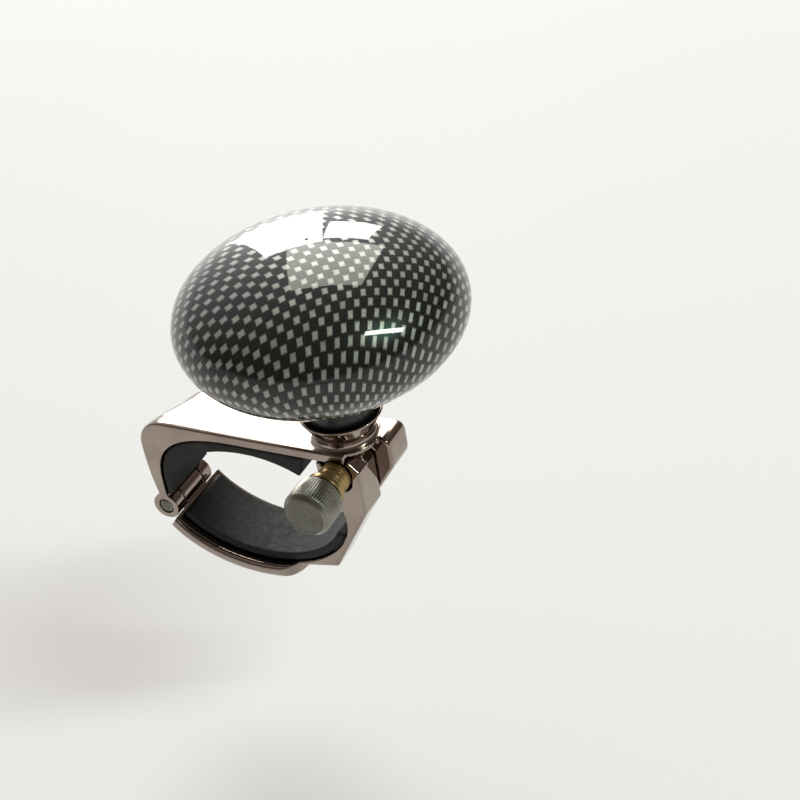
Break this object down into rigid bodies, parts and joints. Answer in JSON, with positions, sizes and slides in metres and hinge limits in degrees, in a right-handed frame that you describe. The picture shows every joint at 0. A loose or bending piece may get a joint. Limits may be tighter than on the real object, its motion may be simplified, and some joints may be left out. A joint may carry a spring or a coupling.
{
  "type": "steering wheel spinner knob",
  "caption": "Flattened ball knob on a bearing and collar, carried by a hinged rim clamp that a knurled thumb screw closes.",
  "frame": {"origin": "centre of the clamp's passage for the steering wheel rim", "axes": "+X across the rim towards the wheel's centre, +Y along the rim, +Z along the knob's axis away from the rim"},
  "size_m": [0.0739, 0.0558, 0.0771],
  "materials": {
    "chrome": "polished chrome plate",
    "satin_steel": "satin turned steel",
    "bearing_steel": "ground steel",
    "brass": "turned brass",
    "carbon_print": "printed weave under clear lacquer",
    "black_plastic": "glossy moulded plastic",
    "nylon": "moulded nylon",
    "rubber": "matte moulded rubber"
  },
  "bodies": {
    "clamp": {"upper_bracket": "chrome", "hinge_pin": "satin_steel", "upper_liner": "rubber", "spindle": "bearing_steel", "bearing_spacer": "satin_steel", "bearing_inner_race": "bearing_steel", "spindle_washer": "satin_steel", "spindle_nut": "satin_steel"},
    "knob": {"knob_dome": "carbon_print", "knob_base": "black_plastic", "bearing_outer_race": "bearing_steel", "bearing_circlip": "bearing_steel"},
    "ball_train": {"bearing_cage": "nylon", "bearing_ball_1": "bearing_steel", "bearing_ball_2": "bearing_steel", "bearing_ball_3": "bearing_steel", "bearing_ball_4": "bearing_steel", "bearing_ball_5": "bearing_steel", "bearing_ball_6": "bearing_steel", "bearing_ball_7": "bearing_steel"},
    "jaw": {"lower_jaw": "chrome", "lower_liner": "rubber"},
    "bush": {"brass_bush": "brass"},
    "thumb_screw": {"thumb_head": "satin_steel", "clamp_screw": "bearing_steel"}
  },
  "joints": [
    {"name": "knob_spin", "type": "hinge", "parent": "clamp", "child": "knob", "pos_m": [0.0206, 0, 0.0451], "axis": [0, 0, 1], "continuous": true},
    {"name": "ball_train_spin", "type": "hinge", "parent": "clamp", "child": "ball_train", "pos_m": [0.0206, 0, 0.0251], "axis": [0, 0, 1], "continuous": true},
    {"name": "jaw_swing", "type": "hinge", "parent": "clamp", "child": "jaw", "pos_m": [-0.0223, 0, -0.0056], "axis": [0, 1, 0], "range_deg": [0, 75]},
    {"name": "screw_travel", "type": "slide", "parent": "clamp", "child": "bush", "axis": [0, -1, 0], "range_m": [0, 0.0028]},
    {"name": "screw_turn", "type": "hinge", "parent": "bush", "child": "thumb_screw", "pos_m": [0.0216, -0.0135, 0.0121], "axis": [0, -1, 0], "range_deg": [0, 1440]}
  ],
  "couplings": [
    {"joint": "ball_train_spin", "follows": "knob_spin", "ratio": 0.62667},
    {"joint": "screw_turn", "follows": "screw_travel", "rad_per_m": 8976}
  ]
}
